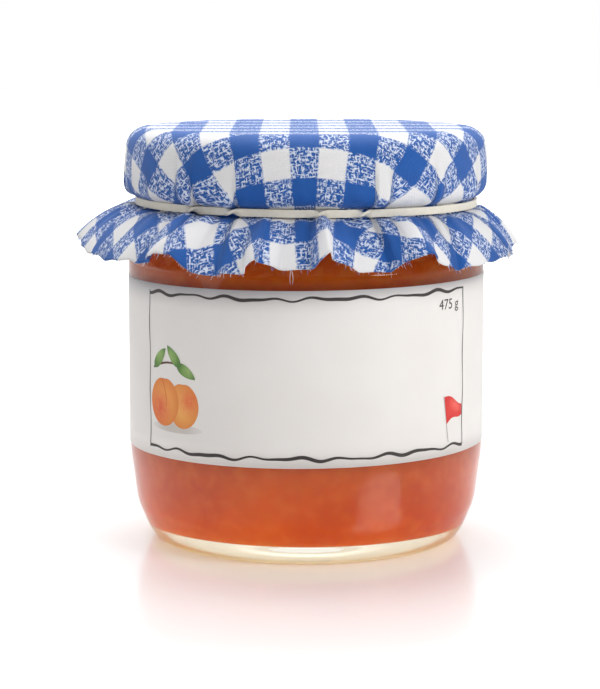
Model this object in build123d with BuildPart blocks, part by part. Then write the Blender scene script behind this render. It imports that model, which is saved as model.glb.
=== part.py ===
"""Jam jar with a metal lid, a gathered cloth cover and an elastic band.

All sizes are in millimetres.  +Z is up and the origin is the centre of the foot, on the surface
that the jar stands on.  Azimuth 0 is the front (-Y) and grows towards +X.
"""

import os
from math import cos, pi, radians, sin, tan

from build123d import *

# ---- glass jar ------------------------------------------------------------------------------
body_radius = 42.1  # outside of the wall behind the label
wall = 2.8  # glass thickness of the body
neck_inset = 3.4  # how far the neck stands in from the body
neck_wall = 2.6
base_thickness = 5.0  # glass under the jam, at the edge of the floor
floor_dome = 1.4  # rise of the floor at the axis
foot_inset = 7.5  # from the body in to the outer edge of the ring that the jar stands on
foot_width = 1.8
push_up = 1.5  # rise of the underside at the axis
heel_inset = 2.4  # where the sloping heel turns up into the body
heel_height = 7.3
waist_inset = 1.1  # slight waist between the heel and the label panel
waist_height = 13.1
panel_bottom = 22.5  # the straight label panel
jar_height = 96.5
panel_top_depth = 30.5  # from the lip down to the top of the panel
neck_depth = 22.0  # from the lip down to the top of the shoulder
lip_fillet = 1.1
floor_fillet = 5.5  # inside corner between floor and wall
knurl_count = 64  # fine ribs on the foot ring
knurl_depth = 0.35

# ---- jam ------------------------------------------------------------------------------------
headspace = 14.7  # from the lip down to the jam, which leaves 357 ml of jam, 475 g

# ---- label ----------------------------------------------------------------------------------
label_thickness = 0.1
label_margin_bottom = 1.1  # bare panel under the label
label_margin_top = 2.5
label_gap = 8.0  # bare glass between the two ends, at the back
label_tilt = 0.5  # degrees, the right-hand side sits a little higher

# ---- lid ------------------------------------------------------------------------------------
lid_sheet = 0.4  # thickness of the metal
lid_overhang = 3.5  # from the outside of the neck to the outside of the lid's skirt
lid_corner = 4.6  # outer radius between side and top
lid_seat = 0.5  # sealing compound between the jar's lip and the lid
lid_depth = 12.5  # outside height
lid_curl = 0.9  # outer radius of the rolled lower edge
panel_drop = 0.9  # the middle of the top lies a little lower
panel_inset = 9.2  # from the outside of the lid to the edge of its lower middle

# ---- cloth cover ----------------------------------------------------------------------------
cloth = 0.45  # thickness, with its gathers
cloth_gap = 0.05  # air between the lid and the cloth
cloth_bulge = 0.35  # how far the side stands out half way up
cloth_leave = 45.0  # degrees round the lid's curl at which the cloth leaves it for the band
gather = 0.9  # thickness of the bunched cloth under the band
gather_length = 4.4  # height of the bunched ring
skirt_length = 18.0  # from the bunched ring to the hem, along the cloth
skirt_slope = 34.0  # degrees below level, from ring to hem
skirt_arch = 1.5  # how far the middle of the skirt stands above a straight line
lobe_count = 16
lobe_front = -26.0  # azimuth of one hanging lobe
lobe_swing = 12.0  # degrees that the lobes swing down and up from the slope
lobe_unevenness = 0.25
sections_per_lobe = 10

# ---- elastic band ---------------------------------------------------------------------------
band_drop = 4.5  # from the lid's lower edge down to the middle of the band
band_width = 1.7
band_thickness = 0.7
band_gap = 0.05
band_twists = (-39, -24, 4, 18, 110, 215)  # azimuths of its half twists
band_twist_span = 10.0  # degrees of azimuth that a half twist takes
band_tilt = 0.3  # how far it runs off level, up on the left and down on the right
band_sections = 360

# ---- worked out from the sizes above ----------------------------------------------------------
neck_radius = body_radius - neck_inset
foot_radius = body_radius - foot_inset
heel_radius = body_radius - heel_inset
waist_radius = body_radius - waist_inset
panel_top = jar_height - panel_top_depth
neck_bottom = jar_height - neck_depth
inner_radius = body_radius - wall
mouth_radius = neck_radius - neck_wall
jam_level = jar_height - headspace
label_bottom = panel_bottom + label_margin_bottom
label_top = panel_top - label_margin_top
lid_radius = neck_radius + lid_overhang
panel_radius = lid_radius - panel_inset
lid_top = jar_height + lid_seat + lid_sheet
lid_bottom = lid_top - lid_depth
band_height = lid_bottom - band_drop
waist_inner = neck_radius + cloth_gap
waist_outer = waist_inner + gather
waist_bottom = band_height - gather_length / 2
cap_radius = lid_radius + cloth_gap
cap_top = lid_top + cloth_gap


def round_plane(azimuth):
    """Return the upright plane through the axis at an azimuth: local x runs outwards, local y up."""
    angle = radians(azimuth)
    return Plane(
        origin=(0, 0, 0),
        x_dir=(sin(angle), -cos(angle), 0),
        z_dir=(-cos(angle), -sin(angle), 0),
    )


def cavity_side(top, radius_at_top):
    """Draw the inside of the glass from the floor's centre up to a height in the neck."""
    floor = ThreePointArc(
        (0, base_thickness + floor_dome),
        (inner_radius * 0.45, base_thickness + floor_dome * 0.75),
        (inner_radius - floor_fillet, base_thickness),
    )
    corner = Spline(
        [floor @ 1, (inner_radius - 1.2, base_thickness + floor_fillet), (inner_radius, panel_bottom)],
        tangents=[(1, 0), (0, 1)],
    )
    side = Line(corner @ 1, (inner_radius, panel_top - 1))
    shoulder = Spline([side @ 1, (mouth_radius, neck_bottom)], tangents=[(0, 1), (0, 1)])
    Line(shoulder @ 1, (radius_at_top, top))


with BuildPart() as glass_jar:
    with BuildSketch(Plane.XZ):
        with BuildLine():
            cavity_side(jar_height, mouth_radius)
            Line((mouth_radius, jar_height), (neck_radius, jar_height))
            Line((neck_radius, jar_height), (neck_radius, neck_bottom))
            Spline(
                [(neck_radius, neck_bottom), (body_radius, panel_top)],
                tangents=[(0, -1), (0, -1)],
            )
            Line((body_radius, panel_top), (body_radius, panel_bottom))
            Spline(
                [
                    (body_radius, panel_bottom),
                    (waist_radius, waist_height),
                    (heel_radius, heel_height),
                    (foot_radius, 0),
                ],
                tangents=[(0, -1), (-1, 0)],
            )
            Line((foot_radius, 0), (foot_radius - foot_width, 0))
            Spline(
                [(foot_radius - foot_width, 0), (foot_radius - 3 * foot_width, push_up * 0.75), (0, push_up)],
                tangents=[(-1, 1), (-1, 0)],
            )
            Line((0, push_up), (0, base_thickness + floor_dome))
        make_face()
    revolve(axis=Axis.Z)
    lip = glass_jar.edges().filter_by(GeomType.CIRCLE).filter_by_position(Axis.Z, jar_height, jar_height)
    fillet(lip, lip_fillet)
    with PolarLocations(foot_radius - foot_width / 2, knurl_count):
        Box(3 * foot_width, pi * foot_radius / knurl_count, 2 * knurl_depth, mode=Mode.SUBTRACT)
glass_jar.part.label = "glass_jar"

with BuildPart() as jam:
    with BuildSketch(Plane.XZ):
        with BuildLine():
            cavity_side(jam_level, mouth_radius)
            Line((mouth_radius, jam_level), (0, jam_level))
            Line((0, jam_level), (0, base_thickness + floor_dome))
        make_face()
    revolve(axis=Axis.Z)
jam.part.label = "jam"

with BuildPart() as label:
    with BuildSketch():
        Circle(body_radius + label_thickness)
        Circle(body_radius, mode=Mode.SUBTRACT)
        with Locations((0, body_radius)):
            Rectangle(label_gap, body_radius, mode=Mode.SUBTRACT)
    extrude(amount=jar_height)
    split(bisect_by=Plane.XY.offset(label_top).rotated((0, -label_tilt, 0)), keep=Keep.BOTTOM)
    split(bisect_by=Plane.XY.offset(label_bottom).rotated((0, -label_tilt, 0)), keep=Keep.TOP)
label.part.label = "label"

with BuildPart() as lid:
    with BuildSketch(Plane.XZ):
        with BuildLine():
            drop_start = (panel_radius + 1.5 * panel_drop, lid_top)
            Line((0, lid_top - panel_drop), (panel_radius, lid_top - panel_drop))
            Line((panel_radius, lid_top - panel_drop), drop_start)
            Line(drop_start, (lid_radius - lid_corner, lid_top))
            corner = RadiusArc(
                (lid_radius - lid_corner, lid_top), (lid_radius, lid_top - lid_corner), lid_corner
            )
            Line(corner @ 1, (lid_radius, lid_bottom + lid_curl))
            offset(amount=lid_sheet, side=Side.RIGHT)
        make_face()
    revolve(axis=Axis.Z)
    with BuildSketch(Plane.XZ):
        with Locations((lid_radius - lid_curl, lid_bottom + lid_curl)):
            Circle(lid_curl)
    revolve(axis=Axis.Z)
    with BuildSketch(Plane.XY.offset(jar_height)):
        Circle(neck_radius)
        Circle(mouth_radius, mode=Mode.SUBTRACT)
    extrude(amount=lid_seat)
lid.part.label = "lid"


def lobe_wave(azimuth):
    """Return how far a place on the hem hangs, from -1 (raised) to about 1 (hanging)."""
    turn = radians(azimuth)
    uneven = 1 + lobe_unevenness * sin(3 * turn + 1.0)
    drift = lobe_unevenness * (sin(2 * turn + 0.6) + sin(5 * turn))
    return uneven * cos(lobe_count * (turn - radians(lobe_front)) + drift)


def skirt_section(azimuth):
    """Return the upright cut through the ruffled skirt at an azimuth."""
    slope = radians(skirt_slope + lobe_swing * lobe_wave(azimuth))
    start = Vector(waist_outer - cloth / 2, waist_bottom + 1.5 * cloth)
    along = Vector(cos(slope), -sin(slope))
    across = Vector(sin(slope), cos(slope))
    with BuildSketch(round_plane(azimuth)) as section:
        with BuildLine():
            upper, lower = [
                ThreePointArc(
                    start + across * side,
                    start + along * (skirt_length / 2) + across * (skirt_arch + side),
                    start + along * skirt_length + across * side,
                )
                for side in (cloth / 2, -cloth / 2)
            ]
            Line(upper @ 0, lower @ 0)
            Line(upper @ 1, lower @ 1)
        make_face()
    return section.sketch


def cap_outline(out):
    """Draw the cloth over the lid at a distance outside its inner side, and return its end at the neck."""
    side_top = lid_top - lid_corner
    curl_middle = (lid_radius - lid_curl, lid_bottom + lid_curl)
    leave = Vector(cos(radians(cloth_leave)), -sin(radians(cloth_leave)))
    under_end = Vector(*curl_middle) + leave * (lid_curl + cloth_gap + out)
    reach = (under_end.X - waist_inner) / tan(radians(cloth_leave))
    top = Line((0, cap_top + out), (lid_radius - lid_corner, cap_top + out))
    corner = RadiusArc(top @ 1, (cap_radius + out, side_top), lid_corner + cloth_gap + out)
    side = ThreePointArc(
        corner @ 1,
        (cap_radius + cloth_bulge + out, (side_top + curl_middle[1]) / 2),
        (cap_radius + out, curl_middle[1]),
    )
    under = RadiusArc(side @ 1, under_end, lid_curl + cloth_gap + out)
    Line(under @ 1, (waist_inner, under_end.Y - reach))
    return waist_inner, under_end.Y - reach


with BuildPart() as cloth_cover:
    with BuildSketch(Plane.XZ):
        with BuildLine():
            Line(cap_outline(0), cap_outline(cloth))
            Line((0, cap_top), (0, cap_top + cloth))
        make_face()
    revolve(axis=Axis.Z)
    with BuildSketch(Plane.XY.offset(waist_bottom)):
        Circle(waist_outer)
        Circle(waist_inner, mode=Mode.SUBTRACT)
    extrude(amount=gather_length)
    section_count = lobe_count * sections_per_lobe
    sections = [skirt_section(360 * i / section_count) for i in range(section_count)]
    loft(sections + sections[:1])
cloth_cover.part.label = "cloth_cover"


def smooth_step(value):
    """Rise from 0 to 1 with level ends."""
    value = min(max(value, 0), 1)
    return value * value * (3 - 2 * value)


def band_section(azimuth):
    """Return the cut through the twisted band at an azimuth, seated on the bunched cloth."""
    turns = sum(smooth_step((azimuth - twist) / band_twist_span + 0.5) for twist in band_twists)
    reach = (abs(cos(pi * turns)) * band_thickness + abs(sin(pi * turns)) * band_width) / 2
    height = band_height - band_tilt * sin(radians(azimuth))
    with BuildSketch(round_plane(azimuth)) as section:
        with Locations((waist_outer + band_gap + reach, height)):
            Rectangle(band_thickness, band_width, rotation=180 * turns)
    return section.sketch


with BuildPart() as elastic_band:
    start = min(band_twists) - band_twist_span
    sections = [band_section(start + 360 * i / band_sections) for i in range(band_sections)]
    loft(sections + sections[:1])
elastic_band.part.label = "elastic_band"

os.makedirs("parts", exist_ok=True)
for piece in (glass_jar, jam, label, lid, cloth_cover, elastic_band):
    export_step(piece.part, f"parts/{piece.part.label}.step")
    print(f"{piece.part.label}: {piece.part.volume / 1000:.2f} ml")
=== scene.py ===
"""Looks of the jam jar: glass, jam, printed label, gathered gingham cover, band, floor, light and camera.

Lengths are written in millimetres and go through MM.  -Y is the front, azimuths grow towards +X.
"""

import math

import bmesh
import bpy
import numpy as np
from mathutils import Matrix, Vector


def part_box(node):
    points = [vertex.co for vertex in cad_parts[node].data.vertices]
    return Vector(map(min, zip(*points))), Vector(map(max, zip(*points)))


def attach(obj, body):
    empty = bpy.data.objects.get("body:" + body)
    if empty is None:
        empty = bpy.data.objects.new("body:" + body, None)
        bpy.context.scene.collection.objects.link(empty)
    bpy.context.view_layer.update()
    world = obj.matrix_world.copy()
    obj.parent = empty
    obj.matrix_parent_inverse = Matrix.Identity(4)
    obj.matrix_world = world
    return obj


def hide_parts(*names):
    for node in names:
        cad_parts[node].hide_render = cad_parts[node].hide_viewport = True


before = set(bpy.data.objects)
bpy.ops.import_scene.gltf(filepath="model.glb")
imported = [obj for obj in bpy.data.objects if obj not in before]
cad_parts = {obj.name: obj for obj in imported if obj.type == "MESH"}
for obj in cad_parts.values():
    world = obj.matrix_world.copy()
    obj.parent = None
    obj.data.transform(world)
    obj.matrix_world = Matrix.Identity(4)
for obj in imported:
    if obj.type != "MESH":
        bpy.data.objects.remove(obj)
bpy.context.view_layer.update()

MM = 0.001
rng = np.random.default_rng(7)  # every random draw comes from here

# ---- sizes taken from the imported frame, in mm ---------------------------------------------------
_, glass_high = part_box("glass_jar")
_, label_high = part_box("label")
lid_low, lid_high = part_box("lid")
band_low, band_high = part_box("elastic_band")
jam_low, jam_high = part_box("jam")

BODY_R = glass_high.x / MM
JAR_TOP = glass_high.z / MM
JAM_LEVEL = jam_high.z / MM
JAM_FLOOR = jam_low.z / MM
LABEL_R = label_high.x / MM
LID_R = lid_high.x / MM
LID_TOP = lid_high.z / MM
LID_BOTTOM = lid_low.z / MM
BAND_Z = (band_low.z + band_high.z) / 2 / MM

# ---- small helpers --------------------------------------------------------------------------------


def add_mesh(name, points, faces, material, smooth=True):
    """Make a mesh object from points in mm."""
    mesh = bpy.data.meshes.new(name)
    mesh.from_pydata([tuple(float(c) * MM for c in p) for p in points], [], faces)
    mesh.validate()
    solid = bmesh.new()
    solid.from_mesh(mesh)
    bmesh.ops.recalc_face_normals(solid, faces=solid.faces)
    solid.to_mesh(mesh)
    solid.free()
    if smooth:
        mesh.shade_smooth()
    piece = bpy.data.objects.new(name, mesh)
    bpy.context.scene.collection.objects.link(piece)
    piece.data.materials.append(material)
    return piece


def lathe(name, outline, material, segments=256):
    """Turn a closed or axis-to-axis outline of (radius, height) points about the Z axis."""
    points, faces, rows = [], [], []
    for radius, height in outline:
        if radius < 1e-6:
            rows.append([len(points)] * segments)
            points.append((0, 0, height))
            continue
        rows.append(list(range(len(points), len(points) + segments)))
        for i in range(segments):
            turn = 2 * math.pi * i / segments
            points.append((radius * math.cos(turn), radius * math.sin(turn), height))
    for low, high in zip(rows, rows[1:]):
        for i in range(segments):
            j = (i + 1) % segments
            corner = [low[i], low[j], high[j], high[i]]
            faces.append(tuple(dict.fromkeys(corner)))
    return add_mesh(name, points, faces, material)


def hermite(start, end, start_slope, end_slope, count=14):
    """Points of a smooth curve from start to end, without its first point."""
    reach = math.dist(start, end)
    curve = []
    for i in range(1, count + 1):
        t = i / count
        weights = (2*t**3 - 3*t**2 + 1, t**3 - 2*t**2 + t, 3*t**2 - 2*t**3, t**3 - t**2)
        parts = (start, [c * reach for c in start_slope], end, [c * reach for c in end_slope])
        curve.append(tuple(sum(w * p[axis] for w, p in zip(weights, parts)) for axis in (0, 1)))
    return curve


class Shader:
    """A material's node tree, with short calls for its nodes."""

    def __init__(self, name):
        self.material = bpy.data.materials.new(name)
        self.material.use_nodes = True
        self.tree = self.material.node_tree
        self.bsdf = self.tree.nodes["Principled BSDF"]

    def set(self, **values):
        """Set the shader's own sockets, written with _ for the spaces in their names."""
        for key, value in values.items():
            self.bsdf.inputs[key.replace("_", " ")].default_value = value
        return self

    def node(self, kind, *inputs, **settings):
        node = self.tree.nodes.new(kind)
        for key, value in settings.items():
            setattr(node, key, value)
        for socket, value in zip(node.inputs, inputs):
            self.put(value, socket)
        return node

    def put(self, value, socket):
        if value is None:
            return
        if isinstance(value, bpy.types.NodeSocket):
            self.tree.links.new(value, socket)
        else:
            socket.default_value = value

    def math(self, operation, a, b=None, c=None):
        return self.node("ShaderNodeMath", a, b, c, operation=operation).outputs[0]

    def mix(self, factor, a, b):
        node = self.tree.nodes.new("ShaderNodeMix")
        node.data_type = "RGBA"
        self.put(factor, node.inputs[0])
        self.put(a, node.inputs[6])
        self.put(b, node.inputs[7])
        return node.outputs[2]

    def noise(self, vector, scale, detail=2.0, roughness=0.5):
        node = self.tree.nodes.new("ShaderNodeTexNoise")
        self.put(vector, node.inputs["Vector"])
        node.inputs["Scale"].default_value = scale
        node.inputs["Detail"].default_value = detail
        node.inputs["Roughness"].default_value = roughness
        return node.outputs["Fac"]

    def ramp(self, value, low, high, a=0.0, b=1.0):
        node = self.tree.nodes.new("ShaderNodeMapRange")
        for socket, number in zip(node.inputs, (value, low, high, a, b)):
            self.put(number, socket)
        return node.outputs[0]

    def bump(self, height, distance, strength=1.0):
        node = self.tree.nodes.new("ShaderNodeBump")
        self.put(strength, node.inputs["Strength"])
        node.inputs["Distance"].default_value = distance
        self.put(height, node.inputs["Height"])
        self.tree.links.new(node.outputs[0], self.bsdf.inputs["Normal"])

    def color(self, value):
        self.put(value, self.bsdf.inputs["Base Color"])
        return self

    def coordinates(self):
        return self.tree.nodes.new("ShaderNodeTexCoord").outputs["Object"]


def linear(red, green, blue):
    """Turn a colour written in 0-255 screen values into the linear values that shaders take."""
    return tuple(
        c / 255 / 12.92 if c / 255 <= 0.04045 else ((c / 255 + 0.055) / 1.055) ** 2.4
        for c in (red, green, blue)
    ) + (1.0,)


# ---- materials ----------------------------------------------------------------------------------


def glass_material():
    shader = Shader("clear_glass").set(Roughness=0.0, IOR=1.5, Transmission_Weight=1.0)
    shader.set(Base_Color=(0.985, 0.975, 0.87, 1))
    ripple = shader.noise(shader.coordinates(), 60.0, 1.0)
    shader.bump(ripple, 0.0002, 0.25)
    return shader.material


def jam_material():
    shader = Shader("apricot_jam").set(Roughness=0.16, IOR=1.4)
    where = shader.coordinates()
    cloud = shader.noise(where, 45.0, 3.0, 0.6)
    fibre = shader.noise(where, 260.0, 2.0, 0.7)
    deep = shader.mix(shader.ramp(cloud, 0.35, 0.7), linear(216, 98, 16), linear(198, 76, 6))
    shader.color(shader.mix(shader.ramp(fibre, 0.45, 0.8, 0.0, 0.35), deep, linear(232, 128, 52)))
    shader.set(Specular_IOR_Level=0.03)  # it wets the glass, so little reflects there
    shader.set(Subsurface_Weight=0.7, Subsurface_Radius=(1.0, 0.35, 0.12), Subsurface_Scale=0.02)
    shader.bump(cloud, 0.001, 0.3)
    return shader.material


def painted_table_light_jam_floor():
    """The jam's floor, painted as pale as it looks through the thick base: a painted reflection of the white
    table, which the base mirrors.
    """
    shader = Shader("jam_floor_painted_reflection").set(Roughness=0.12, IOR=2.2)
    cloud = shader.noise(shader.coordinates(), 60.0, 2.0)
    shader.color(shader.mix(cloud, linear(252, 236, 190), linear(248, 222, 168)))
    shader.bump(cloud, 0.0006, 0.4)
    return shader.material


def paper_material():
    shader = Shader("label_paper").set(Roughness=0.42)
    where = shader.coordinates()
    fibre = shader.noise(where, 2500.0, 3.0, 0.6)
    patch = shader.noise(where, 90.0, 2.0)
    light, dark = linear(236, 232, 228), linear(226, 221, 216)
    shader.color(shader.mix(shader.ramp(patch, 0.3, 0.7, 0.0, 0.25), light, dark))
    shader.bump(fibre, 0.00004, 0.5)
    return shader.material


def ink_material(name, tone, spots=None):
    shader = Shader(name).set(Roughness=0.5)
    grain = shader.noise(shader.coordinates(), 1800.0, 2.0)
    shader.color(shader.mix(shader.ramp(grain, 0.4, 0.8, 0.0, 0.3), tone, spots or tone))
    return shader.material


def metal_material():
    shader = Shader("lacquered_metal").set(Roughness=0.3, Metallic=0.8)
    haze = shader.noise(shader.coordinates(), 400.0, 2.0)
    shader.color(shader.mix(haze, linear(205, 200, 185), linear(225, 221, 208)))
    shader.bump(haze, 0.00003, 0.3)
    return shader.material


def band_material():
    shader = Shader("elastic_band").set(Roughness=0.55)
    grain = shader.noise(shader.coordinates(), 900.0, 2.0)
    shader.color(shader.mix(grain, linear(238, 232, 218), linear(224, 216, 198)))
    shader.set(Subsurface_Weight=0.2, Subsurface_Radius=(1.0, 0.8, 0.6), Subsurface_Scale=0.001)
    shader.bump(grain, 0.00008, 0.5)
    return shader.material


CHECK = 6.65  # width of one gingham stripe on the flat cloth, in mm
STRIPE_MIDDLES = (-0.55, 52.75)  # where one stripe of each direction runs on the flat cloth
STRIPES_BEFORE = 101  # stripes counted from off the cloth, so that no place is negative
WOBBLE = 0.5  # how far a stripe's edge wanders
THREAD = 0.44  # pitch of the weave


def gingham_material():
    """Woven checks: solid where two stripes cross, broken by short white dashes where one runs alone."""
    shader = Shader("gingham_cotton").set(Roughness=0.55, Specular_IOR_Level=0.35)
    shader.set(Sheen_Weight=0.12, Sheen_Roughness=0.35)
    uv = shader.node("ShaderNodeUVMap", uv_map="flat_cloth").outputs[0]
    wobble = shader.noise(uv, 1.7, 2.0)
    parts = shader.node("ShaderNodeSeparateXYZ", uv)
    stripes, threads = [], []
    for axis, middle in enumerate(STRIPE_MIDDLES):
        along = shader.math("ADD", parts.outputs[axis], shader.math("MULTIPLY", wobble, WOBBLE))
        first = middle + WOBBLE / 2 - STRIPES_BEFORE * CHECK
        place = shader.math("DIVIDE", shader.math("SUBTRACT", along, first), CHECK)
        stripes.append(shader.ramp(shader.math("PINGPONG", place, 1.0), 0.47, 0.53))
        thread_turns = shader.math("MULTIPLY", parts.outputs[axis], 2 * math.pi / THREAD)
        threads.append(shader.math("SINE", thread_turns))
    both = shader.math("MULTIPLY", stripes[0], stripes[1])
    one = shader.math("SUBTRACT", shader.math("MAXIMUM", stripes[0], stripes[1]), both)
    dashes = []
    for stretch in ((0.8, 2.3, 1.0), (2.3, 0.8, 1.0)):
        drawn = shader.node("ShaderNodeVectorMath", uv, stretch, operation="MULTIPLY").outputs[0]
        dashes.append(shader.noise(drawn, 0.95, 2.0, 0.55))
    maze = shader.ramp(shader.math("MAXIMUM", dashes[0], dashes[1]), 0.52, 0.62, 1.0, 0.0)
    cover = shader.math("ADD", both, shader.math("MULTIPLY", one, maze))
    weave = shader.math("MULTIPLY", threads[0], threads[1])
    fade = shader.noise(uv, 0.25, 3.0)
    blue = shader.mix(fade, linear(4, 74, 154), linear(12, 92, 182))
    # painted highlight: blue and white are both lighter on the raised crowns of the weave
    blue = shader.mix(shader.ramp(weave, 0.1, 1.0, 0.0, 0.35), blue, linear(70, 140, 210))
    white = shader.mix(shader.ramp(weave, -1.0, 1.0), linear(234, 233, 235), linear(247, 246, 246))
    speckle_white = shader.mix(one, white, linear(222, 230, 246))
    shader.color(shader.mix(cover, speckle_white, blue))
    shader.bump(weave, 0.00008, 0.8)
    return shader.material


def floor_material():
    """White table with light of its own for the camera, only a little near the jar, to keep its shadow."""
    shader = Shader("white_table").set(Roughness=0.17, IOR=1.8, Specular_IOR_Level=1.0)
    where = shader.coordinates()
    grain = shader.noise(where, 3.0, 2.0)
    shader.color(shader.mix(grain, (0.90, 0.90, 0.90, 1), (0.92, 0.92, 0.92, 1)))
    distance = shader.node("ShaderNodeVectorMath", where, operation="LENGTH").outputs["Value"]
    paths = shader.tree.nodes.new("ShaderNodeLightPath")
    glow = shader.ramp(distance, 0.10, 0.55, 0.14, 0.95)
    glow = shader.math("MULTIPLY", glow, paths.outputs["Is Camera Ray"])
    # seen through the glass the table glows white at full strength, a light of its own
    glow = shader.math("ADD", glow, paths.outputs["Is Transmission Ray"])
    shader.set(Emission_Color=(1, 1, 1, 1))
    shader.put(glow, shader.bsdf.inputs["Emission Strength"])
    return shader.material


# ---- glass jar and jam --------------------------------------------------------------------------
WALL = 2.8
NECK_R = 38.7
MOUTH_R = 36.1
PANEL_BOTTOM = 22.5
PANEL_TOP = 66.0
NECK_BOTTOM = 74.5
FOOT_R = 34.6
FOOT_WIDTH = 1.8
HEEL = (39.7, 7.3)
WAIST = (41.0, 13.1)
PUSH_UP = 1.5
FLOOR_DOME = 1.4
FLOOR_CORNER = 5.5
KNURLS = 64
KNURL_DEPTH = 0.35
KNURL_HEIGHT = 0.6  # up to here above the table the ribs shape the foot
LIP = 1.1  # radius of the rounded lip
INTO_GLASS = 0.12  # how far the jam reaches into the glass, so that no air gap shows
JAM_ON_BASE = 2.0  # up to here above the jam's lowest point its floor is seen through the base


def cavity(level, push=0.0):
    """Outline of the inside from the floor's middle to a height in the neck, moved into the wall by push."""
    inner = BODY_R - WALL
    edge = inner - FLOOR_CORNER
    outline = []
    for i in range(9):
        across = edge * i / 8
        outline.append((across, JAM_FLOOR + FLOOR_DOME * (1 - (across / edge) ** 2) - push))
    for i in range(1, 13):
        turn = math.pi / 2 * i / 12
        outline.append((edge + (FLOOR_CORNER + push) * math.sin(turn),
                        JAM_FLOOR + FLOOR_CORNER - (FLOOR_CORNER + push) * math.cos(turn)))
    outline.append((inner + push, PANEL_BOTTOM))
    outline.append((inner + push, PANEL_TOP - 1))
    outline += hermite((inner + push, PANEL_TOP - 1), (MOUTH_R + push, NECK_BOTTOM), (0, 0.7), (0, 0.7))
    outline.append((MOUTH_R + push, level))
    return outline


def outside():
    """Outline of the glass from the lip down to the middle of the underside."""
    outline = []
    for i in range(9):
        turn = math.pi / 2 * i / 8
        outline.append((MOUTH_R + LIP - LIP * math.cos(turn), JAR_TOP - LIP + LIP * math.sin(turn)))
    for i in range(9):
        turn = math.pi / 2 * i / 8
        outline.append((NECK_R - LIP + LIP * math.sin(turn), JAR_TOP - LIP + LIP * math.cos(turn)))
    outline.append((NECK_R, NECK_BOTTOM))
    outline += hermite((NECK_R, NECK_BOTTOM), (BODY_R, PANEL_TOP), (0, -0.7), (0, -0.7))
    outline += [(BODY_R, h) for h in (55, 44, 33, PANEL_BOTTOM + 1)]
    outline += hermite((BODY_R, PANEL_BOTTOM + 1), WAIST, (0, -0.9), (-0.10, -0.95))
    outline += hermite(WAIST, HEEL, (-0.12, -1.0), (-0.42, -0.9))
    outline += hermite(HEEL, (FOOT_R, 0), (-0.42, -0.9), (-0.9, -0.12), 18)
    outline.append((FOOT_R - FOOT_WIDTH, 0))
    outline += hermite((FOOT_R - FOOT_WIDTH, 0), (0, PUSH_UP), (-0.4, 0.10), (-0.6, 0.0), 20)
    return outline


jar = lathe("jar_glass", cavity(JAR_TOP - LIP) + outside(), glass_material(), 384)
for vertex in jar.data.vertices:
    radius = math.hypot(vertex.co.x, vertex.co.y) / MM
    on_foot = FOOT_R - 2.2 * FOOT_WIDTH < radius < FOOT_R + 1.0
    if vertex.co.z < KNURL_HEIGHT * MM and on_foot:
        turn = math.atan2(vertex.co.y, vertex.co.x) * KNURLS
        rib = 0.5 - 0.5 * math.cos(turn)
        vertex.co.z += KNURL_DEPTH * MM * (1 - rib) * (1 - vertex.co.z / (KNURL_HEIGHT * MM))
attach(jar, "root")
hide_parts("glass_jar")

# the surface lies just under the jam's level, with a low swell along the glass
jam_outline = cavity(JAM_LEVEL - 0.6, INTO_GLASS)
jam_outline += [(MOUTH_R - 0.7, JAM_LEVEL - 0.35), (MOUTH_R - 2.5, JAM_LEVEL - 0.6), (0, JAM_LEVEL - 0.7)]
jam = lathe("jam_fill", jam_outline, jam_material())
jam.data.materials.append(painted_table_light_jam_floor())
# the floor's faces seen through the base get the pale painted reflection of the table
for face in jam.data.polygons:
    across = math.hypot(face.center.x, face.center.y)
    if face.center.z < (JAM_FLOOR + JAM_ON_BASE) * MM and across < (BODY_R - WALL - FLOOR_CORNER) * MM:
        face.material_index = 1
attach(jam, "root")
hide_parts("jam")

# ---- label --------------------------------------------------------------------------------------
LABEL_BOTTOM = 23.6
LABEL_TOP = 63.5
LABEL_GAP = 8.0
LABEL_TILT = math.radians(0.5)
LABEL_HALF = math.pi * BODY_R - LABEL_GAP / 2
LABEL_AIR = 0.01  # between the glass and the back of the paper


def on_label(across, up, lift=0.0):
    """Place on the label: across is mm along the arc from the front, up is mm from the table."""
    turn = across / BODY_R
    radius = LABEL_R + lift
    x = radius * math.sin(turn)
    return (x, -radius * math.cos(turn), up + x * math.tan(LABEL_TILT))


def label_sheet():
    """The paper wrap: a grid outside, one against the glass, and a rim that joins them."""
    columns, rows = 360, 8
    points, faces = [], []
    for lift in (0.0, BODY_R + LABEL_AIR - LABEL_R):
        for i in range(columns + 1):
            for j in range(rows + 1):
                across = -LABEL_HALF + 2 * LABEL_HALF * i / columns
                points.append(on_label(across, LABEL_BOTTOM + (LABEL_TOP - LABEL_BOTTOM) * j / rows, lift))
    layer = (columns + 1) * (rows + 1)
    for i in range(columns):
        for j in range(rows):
            a = i * (rows + 1) + j
            quad = (a, a + rows + 1, a + rows + 2, a + 1)
            faces.append(quad)
            faces.append(tuple(layer + c for c in reversed(quad)))
    rim = [i * (rows + 1) for i in range(columns + 1)]
    rim += [columns * (rows + 1) + j for j in range(1, rows + 1)]
    rim += [i * (rows + 1) + rows for i in range(columns - 1, -1, -1)]
    rim += list(range(rows - 1, -1, -1))
    for a, b in zip(rim, rim[1:]):
        faces.append((b, a, layer + a, layer + b))
    return add_mesh("label_sheet", points, faces, paper_material())


label = label_sheet()
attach(label, "root")
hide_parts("label")

# ---- print on the label ---------------------------------------------------------------------------
BORDER_HALF = 42.8
BORDER_TOP = LABEL_TOP - 1.9
BORDER_BOTTOM = LABEL_BOTTOM + 2.1
PRINT_LIFT = 0.03
WEIGHT_AT = (33.3, 57.4)  # lower left corner of the weight, on the label
WEIGHT_SIZE = 3.35
WEIGHT_WIDTH = 0.98  # its letters are a little narrower than the font's


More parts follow.
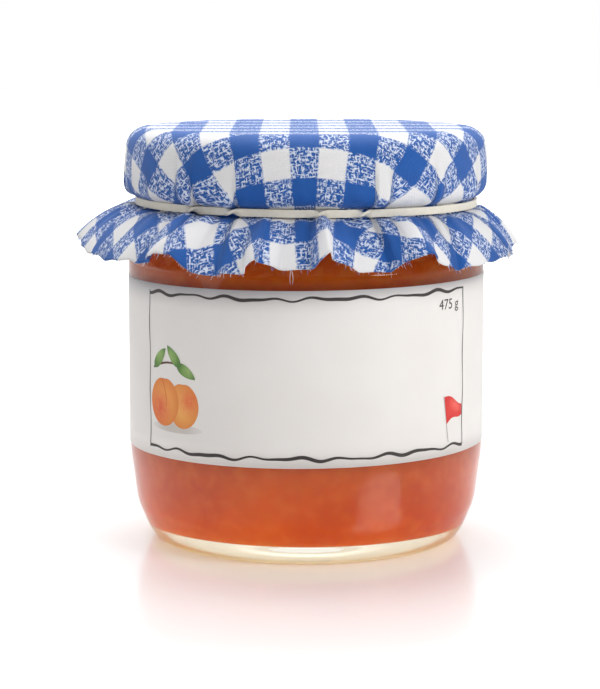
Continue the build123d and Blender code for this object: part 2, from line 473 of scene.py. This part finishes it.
def print_piece(name, points, faces, material, lift, shade=None):
    """A printed shape lying on the label; shade keeps each point's place in the shape for its colours."""
    placed = [on_label(across, up, lift) for across, up in points]
    piece = add_mesh(name, placed, faces, material)
    if shade is not None:
        layer = piece.data.uv_layers.new(name="shade")
        for loop in piece.data.loops:
            layer.data[loop.index].uv = shade[loop.vertex_index]
    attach(piece, "root")
    return piece


def brush_line(name, route, width, material, lift=PRINT_LIFT):
    """A drawn line through route points, with width(t) at each."""
    points, faces = [], []
    for i, (across, up) in enumerate(route):
        before = route[max(i - 1, 0)]
        after = route[min(i + 1, len(route) - 1)]
        along = Vector((after[0] - before[0], after[1] - before[1])).normalized()
        half = width(i / (len(route) - 1)) / 2
        points.append((across - along.y * half, up + along.x * half))
        points.append((across + along.y * half, up - along.x * half))
        if i:
            faces.append((2 * i - 2, 2 * i - 1, 2 * i + 1, 2 * i))
    return print_piece(name, points, faces, material, lift)


def filled_shape(name, middle, reach, material, lift, tilt=0.0, count=72, rings=9):
    """A filled printed shape about its middle; reach(turn) gives the outline's offset."""
    points, shade, faces = [middle], [(0.5, 0.5)], []
    size = max(max(abs(c) for c in reach(2 * math.pi * k / 24)) for k in range(24))
    for ring in range(1, rings + 1):
        for k in range(count):
            dx, dy = (c * ring / rings for c in reach(2 * math.pi * k / count))
            points.append((middle[0] + dx * math.cos(tilt) - dy * math.sin(tilt),
                           middle[1] + dx * math.sin(tilt) + dy * math.cos(tilt)))
            shade.append((0.5 + dx / size / 2, 0.5 + dy / size / 2))
    for k in range(count):
        faces.append((0, 1 + k, 1 + (k + 1) % count))
        for ring in range(rings - 1):
            a = 1 + ring * count + k
            b = 1 + ring * count + (k + 1) % count
            faces.append((a, a + count, b + count, b))
    return print_piece(name, points, faces, material, lift, shade)


def shaded_print(name, middle, rim, glow, spot):
    """Ink that changes from middle to rim, with a glowing spot to one side."""
    shader = Shader(name).set(Roughness=0.5)
    uv = shader.node("ShaderNodeUVMap", uv_map="shade").outputs[0]

    def distance_to(place):
        return shader.node("ShaderNodeVectorMath", uv, place, operation="DISTANCE").outputs["Value"]

    grain = shader.ramp(shader.noise(uv, 9.0, 3.0), 0.3, 0.6, 0.6, 1.0)
    tone = shader.mix(shader.ramp(distance_to((0.5, 0.5, 0)), 0.15, 0.5), middle, rim)
    near = shader.math("MULTIPLY", shader.ramp(distance_to(spot), 0.05, 0.42, 1.0, 0.0), grain)
    shader.color(shader.mix(near, tone, glow))
    return shader.material


dark_ink = ink_material("dark_ink", linear(54, 48, 46), linear(78, 70, 66))


def drawn_border():
    """A frame drawn by hand: heavy wavy lines above and below, thin ones at the sides."""
    count = 240
    level_lines = (("border_top", BORDER_TOP, 0.4, 0.74), ("border_bottom", BORDER_BOTTOM, 2.7, 0.78))
    for name, up, seed, width in level_lines:
        route = []
        for i in range(count + 1):
            across = -BORDER_HALF + 2 * BORDER_HALF * i / count
            wave = 0.30 * math.sin(across * 0.62 + seed) + 0.16 * math.sin(across * 0.97 + 3 * seed)
            wave += 0.12 * math.sin(across * 0.21 + seed)
            route.append((across, up + wave))
        brush_line(name, route, lambda t, w=width, k=seed: w * (0.82 + 0.26 * math.sin(23 * t + k)), dark_ink)
    for name, across, seed in (("border_left", -BORDER_HALF, 1.0), ("border_right", BORDER_HALF, 4.0)):
        route = []
        for i in range(81):
            up = BORDER_BOTTOM - 0.3 + (BORDER_TOP - BORDER_BOTTOM + 0.6) * i / 80
            route.append((across + 0.16 * math.sin(up * 0.42 + seed), up))
        brush_line(name, route, lambda t, k=seed: 0.31 + 0.05 * math.sin(17 * t + k), dark_ink)


def weight_text():
    curve = bpy.data.curves.new("weight", "FONT")
    curve.body = "475 g"
    curve.size = WEIGHT_SIZE
    curve.resolution_u = 6
    holder = bpy.data.objects.new("weight", curve)
    bpy.context.scene.collection.objects.link(holder)
    bpy.context.view_layer.update()
    flat = bpy.data.meshes.new_from_object(holder)
    bpy.data.objects.remove(holder)
    points = [(WEIGHT_AT[0] + v.co.x * WEIGHT_WIDTH, WEIGHT_AT[1] + v.co.y) for v in flat.vertices]
    faces = [tuple(p.vertices) for p in flat.polygons]
    bpy.data.meshes.remove(flat)
    print_piece("weight_print", points, faces, dark_ink, PRINT_LIFT + 0.02)


def fruit_sprig():
    """Two round fruits with leaves on a twig, low on the label's left."""
    fruit = shaded_print(
        "fruit_print", linear(240, 160, 78), linear(226, 128, 52), linear(226, 92, 52), (0.36, 0.36, 0))
    back_fruit = shaded_print(
        "fruit_back_print", linear(244, 176, 92), linear(228, 138, 60), linear(232, 110, 60), (0.7, 0.62, 0))
    leaf = shaded_print(
        "leaf_print", linear(112, 152, 72), linear(72, 116, 56), linear(150, 182, 108), (0.6, 0.68, 0))
    shadow = shaded_print(
        "soft_print", linear(206, 198, 192), linear(229, 224, 220), linear(206, 198, 192), (0.5, 0.5, 0))
    seam_ink = ink_material("seam_print", linear(200, 92, 44))
    twig_ink = ink_material("twig_print", linear(92, 62, 44))

    def round_fruit(width, height):
        def reach(turn):
            cleft = 1 - 0.05 * math.exp(-((turn - math.pi / 2) / 0.22) ** 2)
            return width * cleft * math.cos(turn), height * cleft * math.sin(turn)
        return reach

    def leaf_outline(length, width):
        def reach(turn):
            return length * math.cos(turn), width * math.sin(turn) * abs(math.sin(turn / 2 + 0.2)) ** 0.5
        return reach

    def flat_oval(turn):
        return 8.4 * math.cos(turn), 1.1 * math.sin(turn)

    filled_shape("fruit_shadow", (-33.2, 30.9), flat_oval, shadow, 0.012)
    filled_shape("fruit_behind", (-30.6, 36.2), round_fruit(4.7, 5.2), back_fruit, 0.02)
    filled_shape("fruit_front", (-37.0, 36.6), round_fruit(5.1, 5.6), fruit, 0.035)
    seam = [(-37.6 + 1.5 * math.sin(t * 0.3), 41.8 - t) for t in np.linspace(0, 7.5, 24)]
    brush_line("fruit_seam", seam, lambda t: 0.22 * (1 - 0.7 * t), seam_ink, 0.045)
    twig = [(-41.0 + t, 44.2 + 0.9 * math.sin(t * 0.32) + 0.12 * t) for t in np.linspace(0, 12, 40)]
    brush_line("fruit_twig", twig, lambda t: 0.55 - 0.2 * t, twig_ink, 0.05)
    for k, (x, y, tilt) in enumerate(((-38.4, 46.6, 0.8), (-33.5, 47.4, 2.3), (-29.6, 44.0, -0.5))):
        filled_shape(f"leaf_{k}", (x, y), leaf_outline(3.1, 1.5), leaf, 0.06, tilt)


def pennant():
    """A small plain red pennant on a pole, low on the label's right."""
    pole = [(35.2 + 0.16 * t, 37.4 - t) for t in np.linspace(0, 10.8, 20)]
    brush_line("pennant_pole", pole, lambda t: 0.26, ink_material("pole_print", linear(176, 168, 164)))
    points, faces, shade = [], [], []
    columns, rows = 24, 8
    for i in range(columns + 1):
        for j in range(rows + 1):
            t, v = i / columns, j / rows
            drop = (6.4 * (1 - 0.62 * t)) * v + 1.9 * t
            points.append((35.4 + 7.0 * t + 0.9 * v * (1 - t), 37.2 - drop + 0.55 * math.sin(5.2 * t)))
            shade.append((t, v))
    for i in range(columns):
        for j in range(rows):
            a = i * (rows + 1) + j
            faces.append((a, a + rows + 1, a + rows + 2, a + 1))
    red = shaded_print(
        "pennant_print", linear(226, 62, 54), linear(214, 46, 42), linear(240, 104, 92), (0.62, 0.3, 0))
    print_piece("pennant", points, faces, red, 0.04, shade)


drawn_border()
weight_text()
fruit_sprig()
pennant()

# ---- gathered cloth -------------------------------------------------------------------------------
CLOTH = 0.3  # thickness
CLOTH_AIR = 0.06  # between the lid and the cloth
TOP_CORNER = 4.6  # the lid's outer radius between top and side
LID_CURL = 0.9  # outer radius of its rolled lower edge
SIDE_BULGE = 0.22  # how far the cloth stands out half way down the side
WAIST_R = 39.15  # middle of the cloth under the band
SKIRT_DROP = 1.7  # the skirt starts this far under the band's middle
SKIRT_START = 3.2  # and this far outside the waist
SKIRT_RUN = 12.9  # from there to the hem, along the cloth
SKIRT_SLOPES = (24.0, 58.0)  # degrees below level at its start and at the hem
SKIRT_FLARE = 2.5  # how far its right side sinks and its left side rises
LOBE_SWING = 2.5
CREST_SHARPNESS = 2.2
CRESTS = (  # azimuth where the hem is raised, how high it is there, and how far the lobe after it sags
    (-164, 1.1, 0.6), (-141, 0.9, 0.2), (-117, 1.2, 0.8), (-92, 0.5, 2.0), (-34, 0.6, 2.8), (-12, 0.8, 0.8),
    (4.5, 1.6, 0.4), (29.6, 1.25, 0.9), (70, 0.6, 0.6), (96, 0.6, 0.9), (120, 0.9, 0.3), (146, 1.3, 0.8),
    (170, 0.9, 0.2),
)
CREASES = (  # azimuth and depth of a fold in the skirt; a depth below 0 turns its steep side round
    (-43, 1.3), (-23, 0.5), (21, 1.7), (47, 0.7), (84, -0.9), (133, 1.3), (-129, -1.3), (-70, 0.8),
    (180, 1.0),
)
WAIST_HALF = 1.0  # half the height of the cloth that lies straight under the band
SIDE_PLEATS = (  # azimuth and reach of a pleat that runs up the lid's side
    (-58, 0.8), (-37, 1.5), (-22, 1.5), (26, 1.4), (43, 0.8), (66, 1.2), (101, 1.1), (133, 1.4),
    (167, 0.9), (-88, 1.2), (-118, 1.0), (-149, 1.3),
)
GATHERS = 61  # small puckers under the band, in a whole turn
TURNS = 560  # points in each ring of the cloth's mesh
THREAD_COUNT = 420  # loose ends along the hem
FRONT_THREAD_AT = -3.6  # azimuth of the long one
FRONT_THREAD_LENGTH = 3.4


def cloth_profile():
    """Middle line of the cloth in the radial plane, from the top to the hem, and where the waist is."""
    out = CLOTH_AIR + CLOTH / 2
    flat_edge = LID_R - TOP_CORNER
    path = [(flat_edge * i / 12, LID_TOP + out) for i in range(13)]
    bend = TOP_CORNER + out
    for i in range(1, 13):
        turn = math.pi / 2 * i / 12
        path.append((flat_edge + bend * math.sin(turn), LID_TOP - TOP_CORNER + bend * math.cos(turn)))
    side_high, side_low = LID_TOP - TOP_CORNER, LID_BOTTOM + LID_CURL
    for i in range(1, 13):
        t = i / 12
        side_r = LID_R + out + SIDE_BULGE * math.sin(math.pi * t)
        path.append((side_r, side_high + (side_low - side_high) * t))
    path += hermite(path[-1], (WAIST_R, BAND_Z + WAIST_HALF), (0.0, -1.2), (-1.1, -0.45), 12)
    path.append((WAIST_R, BAND_Z))
    waist = len(path) - 1
    path.append((WAIST_R, BAND_Z - WAIST_HALF))
    path += hermite(path[-1], (WAIST_R + SKIRT_START, BAND_Z - SKIRT_DROP), (0.1, -0.6), (0.9, -0.4), 10)
    count = 18
    step = SKIRT_RUN / count
    for i in range(1, count + 1):
        slope = math.radians(SKIRT_SLOPES[0] + (SKIRT_SLOPES[1] - SKIRT_SLOPES[0]) * i / count)
        radius, height = path[-1]
        path.append((radius + step * math.cos(slope), height - step * math.sin(slope)))
    path = np.array(path)
    length = np.concatenate([[0], np.cumsum(np.linalg.norm(np.diff(path, axis=0), axis=1))])
    return length, path, float(length[waist])


profile_length, profile_path, WAIST_S = cloth_profile()
CLOTH_R = float(profile_length[-1])
SIDE_S = LID_R - TOP_CORNER


def lobes(turn):
    """Phase of the skirt's lobes, a whole turn from crest to crest, the crest's height and the lobe's sag."""
    azimuths, heights, sags = (np.array(column, dtype=float) for column in zip(*CRESTS))
    edges = np.radians(np.append(azimuths, azimuths[0] + 360))
    wrapped = (turn - edges[0]) % (2 * math.pi) + edges[0]
    index = np.interp(wrapped, edges, np.arange(len(edges)))
    height = np.append(heights, heights[0])[np.rint(index).astype(int)]
    sag = sags[np.minimum(index.astype(int), len(sags) - 1)]
    return 2 * math.pi * index, height, sag


def side_pleats(turn, side):
    """Soft pressed pleats that run up the lid's side from the band, each one leaning over."""
    height = np.zeros_like(turn)
    for azimuth, reach in SIDE_PLEATS:
        lean = math.radians(azimuth + 5.0 * (1 - reach)) + 0.05 * (1 - side)
        away = (turn - lean + math.pi) % (2 * math.pi) - math.pi
        ridge = np.exp(-(np.maximum(away, 0) / 0.020) ** 2) * np.exp(-(np.minimum(away, 0) / 0.085) ** 2)
        height += ridge * np.clip((side - 0.62 + 0.22 * reach) / 0.45, 0, 1) ** 1.3 * reach
    return height


def creases(turn):
    """Overlapping folds from the band to the hem: one side sinks in and the other rises steeply over it."""
    depth = np.zeros_like(turn)
    for azimuth, reach in CREASES:
        away = (turn - math.radians(azimuth) + math.pi) % (2 * math.pi) - math.pi
        step = np.clip(away * np.sign(reach) / 0.022 + 0.5, 0, 1)
        step = step * step * (3 - 2 * step)
        depth += abs(reach) * (1 - 1.55 * step) * np.exp(-(away / 0.11) ** 2)
    return depth


def cloth_points(s, turn):
    """Places of the flat cloth's points, at radius s and azimuth turn, once it is gathered on the jar."""
    def along(length, axis):
        return np.interp(length, profile_length, profile_path[:, axis])

    radius, height = along(s, 0), along(s, 1)
    along_r, along_z = along(s + 0.4, 0) - along(s - 0.4, 0), along(s + 0.4, 1) - along(s - 0.4, 1)
    size = np.hypot(along_r, along_z) + 1e-9
    out_r, out_z = -along_z / size, along_r / size
    side = np.clip((s - SIDE_S - 3) / (WAIST_S - SIDE_S - 3), 0, 1)
    skirt = np.clip((s - WAIST_S) / (CLOTH_R - WAIST_S), 0, 1)
    on_side = s <= WAIST_S
    drift = 0.9 * np.sin(3 * turn + 0.5) + 0.7 * np.sin(7 * turn + 2.0) + 0.5 * np.sin(11 * turn + 4.0)
    fine = np.cos(GATHERS * turn + 2.2 * drift) * (0.7 + 0.4 * np.sin(9 * turn + 1.3))
    free = np.clip((np.abs(s - WAIST_S) - 1.2) / 3.0, 0, 1)
    above = 0.30 * (1 + fine) * side ** 3 * free + 0.75 * side_pleats(turn, side) * free
    phase, height_of_crest, sag = lobes(turn)
    crest = ((1 + np.cos(phase)) / 2) ** CREST_SHARPNESS
    ripple = np.cos(3 * phase + 1.6 * drift) * (0.55 + 0.35 * np.sin(5 * turn + 0.4))
    below = LOBE_SWING * (1.9 * crest * height_of_crest - 0.62) * skirt ** 1.2
    below += 0.55 * fine * free * (1 - skirt) ** 1.2 + 0.35 * ripple * skirt
    below -= creases(turn) * free * skirt ** 0.4 + SKIRT_FLARE * np.sin(turn) * skirt
    rise = np.where(on_side, above, below)
    r = radius + out_r * rise
    z = height + out_z * rise - sag * (1 - crest) * skirt ** 2
    fold_over = (-0.030 * np.sin(phase) + 0.012 * np.sin(3 * phase + 1.6 * drift + 1.0)) * skirt
    angle = turn + fold_over
    return np.stack([r * np.sin(angle), -r * np.cos(angle), z], axis=-1)


def hidden_cloth(s, turn):
    """How far round the flat cloth a point comes from, as each pleat takes up a narrow strip of it."""
    near = np.exp(-((s - WAIST_S) / 9.0) ** 2)
    shift = np.zeros_like(turn)
    reach_round = 0.24
    for azimuth, reach in SIDE_PLEATS + CREASES:
        away = (turn - math.radians(azimuth) + math.pi) % (2 * math.pi) - math.pi
        step = np.clip(away / 0.018 + 0.5, 0, 1)
        ramp = np.clip((away + reach_round) / (2 * reach_round), 0, 1)
        shift += 0.095 * abs(reach) * (step - ramp)
    return shift * near


def cloth_grid():
    """Flat radius and azimuth of every point of the cloth's mesh, ring by ring."""
    rings = np.concatenate([
        np.linspace(2.0, SIDE_S, 12)[:-1],
        np.linspace(SIDE_S, WAIST_S, 40)[:-1],
        np.linspace(WAIST_S, CLOTH_R, 38),
    ])
    turns = np.arange(TURNS) * 2 * math.pi / TURNS
    s, turn = np.meshgrid(rings, turns, indexing="ij")
    ragged = 0.22 * np.sin(23 * turn + 1) + 0.16 * np.sin(57 * turn) - 0.4
    return s + ragged * np.clip((s - WAIST_S) / (CLOTH_R - WAIST_S), 0, 1), turn


def cloth_piece():
    """The cover's mesh, which carries the flat cloth's coordinates for its weave."""
    s, turn = cloth_grid()
    points = [(0, 0, profile_path[0, 1])] + cloth_points(s, turn).reshape(-1, 3).tolist()
    rings, count = s.shape
    faces = [(0, 1 + j, 1 + (j + 1) % count) for j in range(count)]
    for i in range(rings - 1):
        for j in range(count):
            a = 1 + i * count + j
            b = 1 + i * count + (j + 1) % count
            faces.append((a, a + count, b + count, b))
    piece = add_mesh("gingham_cover", points, faces, gingham_material())
    flat = np.zeros((len(points), 2))
    source = turn + hidden_cloth(s, turn)
    flat[1:, 0] = (s * np.sin(source)).reshape(-1)
    flat[1:, 1] = (s * np.cos(source)).reshape(-1)
    layer = piece.data.uv_layers.new(name="flat_cloth")
    corners = np.zeros(len(piece.data.loops), dtype=np.int32)
    piece.data.loops.foreach_get("vertex_index", corners)
    layer.data.foreach_set("uv", flat[corners].reshape(-1))
    thick = piece.modifiers.new("thickness", "SOLIDIFY")
    thick.thickness = CLOTH * MM
    thick.offset = 0.0
    return piece


def thread_tube(points, faces, route, radius):
    """Add a thin three-sided tube along a route to a mesh's points and faces."""
    first = len(points)
    for i, place in enumerate(route):
        taper = radius * (1 - 0.6 * i / (len(route) - 1))
        for k in range(3):
            turn = 2 * math.pi * k / 3
            points.append((place[0] + taper * math.cos(turn), place[1], place[2] + taper * math.sin(turn)))
            if i:
                a, b = first + 3 * (i - 1) + k, first + 3 * (i - 1) + (k + 1) % 3
                faces.append((a, b, b + 3, a + 3))
    faces.append((first + 2, first + 1, first))
    last = len(points) - 3
    faces.append((last, last + 1, last + 2))


def hem_threads():
    """Loose ends of thread along the raw hem, and a longer one with two strands that hangs at the front."""
    points, faces = [], []
    for turn in rng.uniform(0, 2 * math.pi, THREAD_COUNT):
        start, inner = cloth_points(np.array([CLOTH_R - 0.45, CLOTH_R - 1.4]), np.array([turn, turn]))
        away = (start - inner) / np.linalg.norm(start - inner)
        reach = rng.uniform(0.35, 1.15)
        curl = rng.normal(0, 0.22, 3)
        route = [start + away * reach * t + curl * reach * t * t for t in (-0.25, 0.15, 0.5, 0.8, 1.0)]
        thread_tube(points, faces, route, rng.uniform(0.045, 0.075))
    hang = cloth_points(np.array([CLOTH_R - 0.6]), np.array([math.radians(FRONT_THREAD_AT)]))[0]
    for swing in (0.5, -0.35):
        route = []
        for t in np.linspace(0, 1, 9):
            sway = swing * math.sin(2.6 * t) * 0.8
            route.append(hang + np.array([sway, -0.1 - 0.2 * t, -FRONT_THREAD_LENGTH * t]))
        thread_tube(points, faces, route, 0.085)
    shader = Shader("loose_thread").set(Roughness=0.8)
    tint = shader.noise(shader.coordinates(), 700.0, 1.0)
    shader.color(shader.mix(shader.ramp(tint, 0.5, 0.62), linear(236, 236, 240), linear(92, 142, 208)))
    return add_mesh("hem_threads", points, faces, shader.material)


cover = cloth_piece()
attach(cover, "root")
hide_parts("cloth_cover")
threads = hem_threads()
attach(threads, "root")

# ---- CAD nodes that stay ----------------------------------------------------------------------------
for node, material in (("lid", metal_material()), ("elastic_band", band_material())):
    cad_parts[node].data.materials.clear()
    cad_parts[node].data.materials.append(material)
    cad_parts[node].data.shade_smooth()

# ---- floor, light and camera --------------------------------------------------------------------------
TABLE_HALF = 3000
CAMERA_AT = (-1.46, -565.9, 125.9)
CAMERA_DOWN = 8.073  # degrees below level that it looks

table_corners = [(TABLE_HALF * x, TABLE_HALF * y, 0) for x, y in ((-1, -1), (1, -1), (1, 1), (-1, 1))]
floor = add_mesh("table_top", table_corners, [(0, 1, 2, 3)], floor_material(), smooth=False)

scene = bpy.context.scene
scene.view_settings.view_transform = "Standard"


def soft_light(name, place, size, power, target=(0, 0, 50)):
    """Round soft lamp of a size in mm, at a place in mm, that faces a target in mm."""
    lamp = bpy.data.lights.new(name, "AREA")
    lamp.shape = "DISK"
    lamp.size = size * MM
    lamp.energy = power
    holder = bpy.data.objects.new(name, lamp)
    scene.collection.objects.link(holder)
    holder.location = [c * MM for c in place]
    aim = [t - p for t, p in zip(target, place)]
    holder.rotation_euler = Vector(aim).to_track_quat("-Z", "Y").to_euler()


soft_light("key_right", (520, -420, 420), 440, 2.75)
soft_light("top_back", (-60, 200, 620), 520, 4.0)
soft_light("fill_left", (-560, -300, 260), 500, 0.35)

# White to the camera and through glass.  Mirrored, it is dark in front of the jar and white behind it.
world = bpy.data.worlds.new("studio")
scene.world = world
world.use_nodes = True
tree = world.node_tree
background = tree.nodes["Background"]
background.inputs["Color"].default_value = (1, 1, 1, 1)
paths = tree.nodes.new("ShaderNodeLightPath")
direction = tree.nodes.new("ShaderNodeTexCoord")
parts = tree.nodes.new("ShaderNodeSeparateXYZ")
tree.links.new(direction.outputs["Generated"], parts.inputs[0])
mirrored = tree.nodes.new("ShaderNodeMapRange")
tree.links.new(parts.outputs["Y"], mirrored.inputs[0])
for socket, value in (("From Min", -0.6), ("From Max", 0.3), ("To Min", 0.06), ("To Max", 1.0)):
    mirrored.inputs[socket].default_value = value


def world_math(operation, *values):
    node = tree.nodes.new("ShaderNodeMath")
    node.operation = operation
    for socket, value in zip(node.inputs, values):
        if isinstance(value, bpy.types.NodeSocket):
            tree.links.new(value, socket)
        else:
            socket.default_value = value
    return node.outputs[0]


seen = world_math("MAXIMUM", paths.outputs["Is Camera Ray"], paths.outputs["Is Transmission Ray"])
shiny = world_math("MULTIPLY", paths.outputs["Is Glossy Ray"], mirrored.outputs[0])
others = world_math("MULTIPLY", world_math("SUBTRACT", 1.0, paths.outputs["Is Glossy Ray"]), 0.42)
level = world_math("MAXIMUM", seen, world_math("MAXIMUM", shiny, others))
tree.links.new(level, background.inputs["Strength"])

lens = bpy.data.cameras.new("view")
camera = bpy.data.objects.new("view", lens)
scene.collection.objects.link(camera)
camera.location = [c * MM for c in CAMERA_AT]
camera.rotation_euler = (math.radians(90 - CAMERA_DOWN), 0, 0)
lens.lens = 124.9
lens.sensor_fit = "AUTO"
lens.sensor_width = 36.0
lens.clip_start = 0.01
lens.clip_end = 20.0
scene.camera = camera
